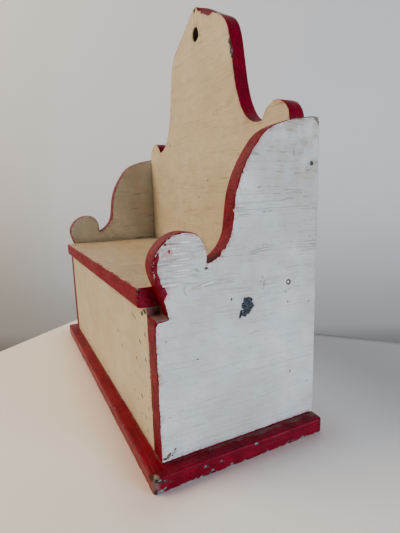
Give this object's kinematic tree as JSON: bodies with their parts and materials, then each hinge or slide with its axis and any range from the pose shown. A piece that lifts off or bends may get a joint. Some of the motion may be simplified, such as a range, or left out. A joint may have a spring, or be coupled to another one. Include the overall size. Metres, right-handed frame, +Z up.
{
  "type": "hanging wall box with lift lid",
  "caption": "Painted wooden wall box with scroll-cut sides, a shaped back board with a hanging hole, a lift lid on pivot pins and an overhanging base.",
  "frame": {"origin": "middle of the base board's underside, in plan at the middle of the whole object", "axes": "+Z up, +Y towards the wall behind the object, the front faces -Y, +X to the right seen from the front"},
  "size_m": [0.406, 0.164, 0.434],
  "materials": {
    "base_paint": "worn red oil paint over softwood, chipped along the lower edge, dark grime where it meets the sides",
    "cheek_paint": "aged off-white oil paint over softwood with raised grain lines, small dark chips and red painted edges",
    "back_paint": "aged cream oil paint over softwood with red painted edges",
    "front_paint": "aged cream oil paint over softwood, rubbed thin near the top",
    "lid_paint": "aged cream oil paint on the faces, red on the front edge and ends",
    "iron": "rusty dark iron, partly painted over"
  },
  "bodies": {
    "box": {"base_board": "base_paint", "left_cheek": "cheek_paint", "right_cheek": "cheek_paint", "back_board": "back_paint", "front_board": "front_paint", "left_hinge_pin": "iron", "right_hinge_pin": "iron", "left_back_nail_1": "iron", "left_back_nail_2": "iron", "left_back_nail_3": "iron", "left_back_nail_4": "iron", "left_front_nail_1": "iron", "left_front_nail_2": "iron", "left_base_nail_1": "iron", "left_base_nail_2": "iron", "right_back_nail_1": "iron", "right_back_nail_2": "iron", "right_back_nail_3": "iron", "right_back_nail_4": "iron", "right_front_nail_1": "iron", "right_front_nail_2": "iron", "right_base_nail_1": "iron", "right_base_nail_2": "iron", "front_base_nail_1": "iron", "front_base_nail_2": "iron", "front_base_nail_3": "iron", "back_base_nail_1": "iron", "back_base_nail_2": "iron", "back_base_nail_3": "iron"},
    "lid": {"lid": "lid_paint"}
  },
  "joints": [
    {"name": "lid_hinge", "type": "hinge", "parent": "box", "child": "lid", "pos_m": [0, 0.0513, 0.14305], "axis": [-1, 0, 0], "range_deg": [0, 92]}
  ]
}
